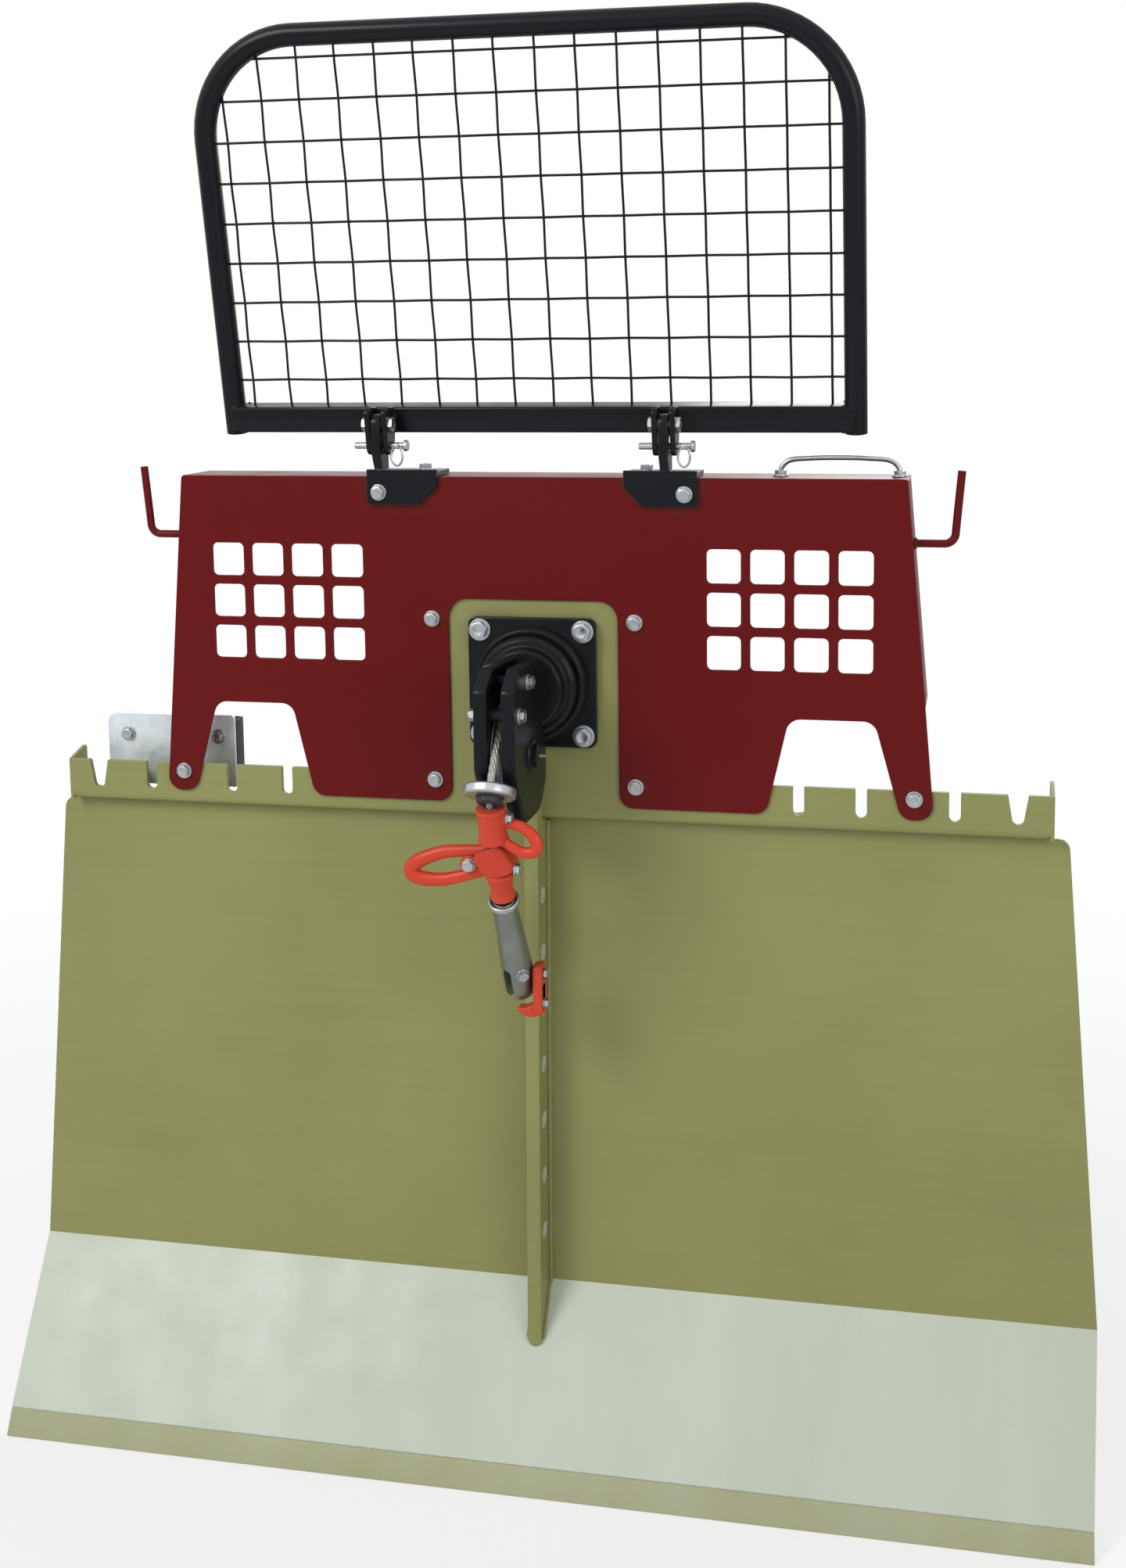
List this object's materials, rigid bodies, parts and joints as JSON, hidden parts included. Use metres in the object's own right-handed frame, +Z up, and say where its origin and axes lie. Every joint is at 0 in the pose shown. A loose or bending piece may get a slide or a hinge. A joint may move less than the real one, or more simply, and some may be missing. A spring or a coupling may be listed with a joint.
{
  "type": "tractor forestry winch",
  "caption": "Three-point forestry winch on a blade, with a red cover, swivelling rope head, folding mesh guard, chain rail and rope drum.",
  "frame": {"origin": "on the ground, under the centre of the bounding box of the winch without its hanging rope end", "axes": "+Z up, +X along the blade to the right as seen from the front, +Y towards the tractor"},
  "size_m": [1.706, 0.6637, 2.197],
  "materials": {
    "olive_paint": "satin",
    "lip_paint": "matte",
    "edge_paint": "matte",
    "red_paint": "gloss",
    "orange_red_paint": "satin",
    "black_paint": "satin",
    "zinc": "satin",
    "bare_steel": "satin",
    "wire_rope": "satin",
    "cast_iron": "matte",
    "plastic": "matte"
  },
  "bodies": {
    "winch": {"blade_plate": "olive_paint", "blade_lip": "lip_paint", "cutting_edge": "edge_paint", "hitch_bar": "olive_paint", "chain_rail": "olive_paint", "top_cover": "red_paint", "side_hook_left": "red_paint", "side_hook_right": "red_paint", "bow_handle": "zinc", "saw_holder_plate": "zinc", "saw_holder_pocket": "plastic", "head_flange": "black_paint", "swivel_ring": "black_paint", "side_plate_left": "olive_paint", "side_plate_right": "olive_paint", "front_plate": "olive_paint", "rear_plate": "olive_paint", "lower_cross_tube": "olive_paint", "upper_cross_tube": "olive_paint", "top_plate": "olive_paint", "pulley_post": "olive_paint", "inner_pulley_axle": "bare_steel", "drum_shaft": "bare_steel", "winch_rope": "wire_rope", "drive_chain": "bare_steel", "brake_band": "black_paint", "top_link_ears": "olive_paint", "top_link_pin": "zinc", "stand_sleeve": "olive_paint", "pto_bearing": "cast_iron", "pto_guard": "plastic", "guard_bracket_left": "black_paint", "guard_bracket_right": "black_paint"},
    "rope_head": {"head_hub": "black_paint", "head_cheek_left": "black_paint", "head_cheek_right": "black_paint", "head_bolt_upper": "zinc", "head_bolt_lower": "zinc", "pulley_axle": "bare_steel", "rope_in_head": "wire_rope", "rope_end": "wire_rope", "stop_disc": "zinc", "slider_upper": "orange_red_paint", "slider_lower": "orange_red_paint", "end_hook": "cast_iron"},
    "latch": {"hook_latch": "orange_red_paint"},
    "front_pulley": {"head_pulley": "bare_steel"},
    "rear_pulley": {"inner_pulley": "bare_steel"},
    "drum": {"rope_drum": "bare_steel", "rope_layers": "wire_rope"},
    "sprocket": {"drive_sprocket": "cast_iron"},
    "pto": {"pto_shaft": "bare_steel"},
    "guard": {"guard_frame": "black_paint", "guard_mesh": "black_paint"},
    "left_lock": {"lock_pin_left": "zinc"},
    "right_lock": {"lock_pin_right": "zinc"},
    "brake": {"brake_lever": "bare_steel"},
    "clutch": {"clutch_lever": "bare_steel"},
    "stand": {"parking_stand": "cast_iron"}
  },
  "joints": [
    {"name": "guard_fold", "type": "hinge", "parent": "winch", "child": "guard", "pos_m": [0, -0.07708, 1.609], "axis": [1, 0, 0], "range_deg": [0, 100]},
    {"name": "left_lock_pull", "type": "slide", "parent": "guard", "child": "left_lock", "axis": [1, 0, 0], "range_m": [0, 0.06]},
    {"name": "right_lock_pull", "type": "slide", "parent": "guard", "child": "right_lock", "axis": [1, 0, 0], "range_m": [0, 0.06]},
    {"name": "head_swivel", "type": "hinge", "parent": "winch", "child": "rope_head", "pos_m": [0, -0.115, 1.218], "axis": [0, 1, 0], "range_deg": [-90, 90]},
    {"name": "latch_swing", "type": "hinge", "parent": "rope_head", "child": "latch", "pos_m": [0.0323, -0.19092, 0.80207], "axis": [1, 0, 0], "range_deg": [0, 50], "stiffness_Nm_per_rad": 0.2},
    {"name": "drum_spin", "type": "hinge", "parent": "winch", "child": "drum", "pos_m": [0.15, 0.053, 0.55203], "axis": [0, 1, 0], "continuous": true},
    {"name": "front_pulley_spin", "type": "hinge", "parent": "rope_head", "child": "front_pulley", "pos_m": [0, -0.203, 1.134], "axis": [1, 0, 0], "continuous": true},
    {"name": "rear_pulley_spin", "type": "hinge", "parent": "winch", "child": "rear_pulley", "pos_m": [0, 0.031, 1.134], "axis": [1, 0, 0], "continuous": true},
    {"name": "sprocket_spin", "type": "hinge", "parent": "winch", "child": "sprocket", "pos_m": [0.15, 0.145, 0.55203], "axis": [0, 1, 0], "continuous": true, "deforming": ["drive_chain"]},
    {"name": "pto_spin", "type": "hinge", "parent": "winch", "child": "pto", "pos_m": [0, 0.225, 0.3], "axis": [0, 1, 0], "continuous": true},
    {"name": "brake_pull", "type": "hinge", "parent": "winch", "child": "brake", "pos_m": [-0.078, -0.018, 0.553], "axis": [0, 1, 0], "range_deg": [0, 12], "stiffness_Nm_per_rad": 25},
    {"name": "clutch_pull", "type": "hinge", "parent": "winch", "child": "clutch", "pos_m": [0.24, 0.182, 0.62], "axis": [0, 1, 0], "range_deg": [0, 10], "stiffness_Nm_per_rad": 25},
    {"name": "stand_slide", "type": "slide", "parent": "winch", "child": "stand", "axis": [0, 0, 1], "range_m": [0, 0.25]}
  ],
  "couplings": [
    {"joint": "front_pulley_spin", "follows": "drum_spin", "ratio": 1.7857},
    {"joint": "rear_pulley_spin", "follows": "drum_spin", "ratio": 1.7857},
    {"joint": "pto_spin", "follows": "sprocket_spin", "ratio": 4}
  ]
}
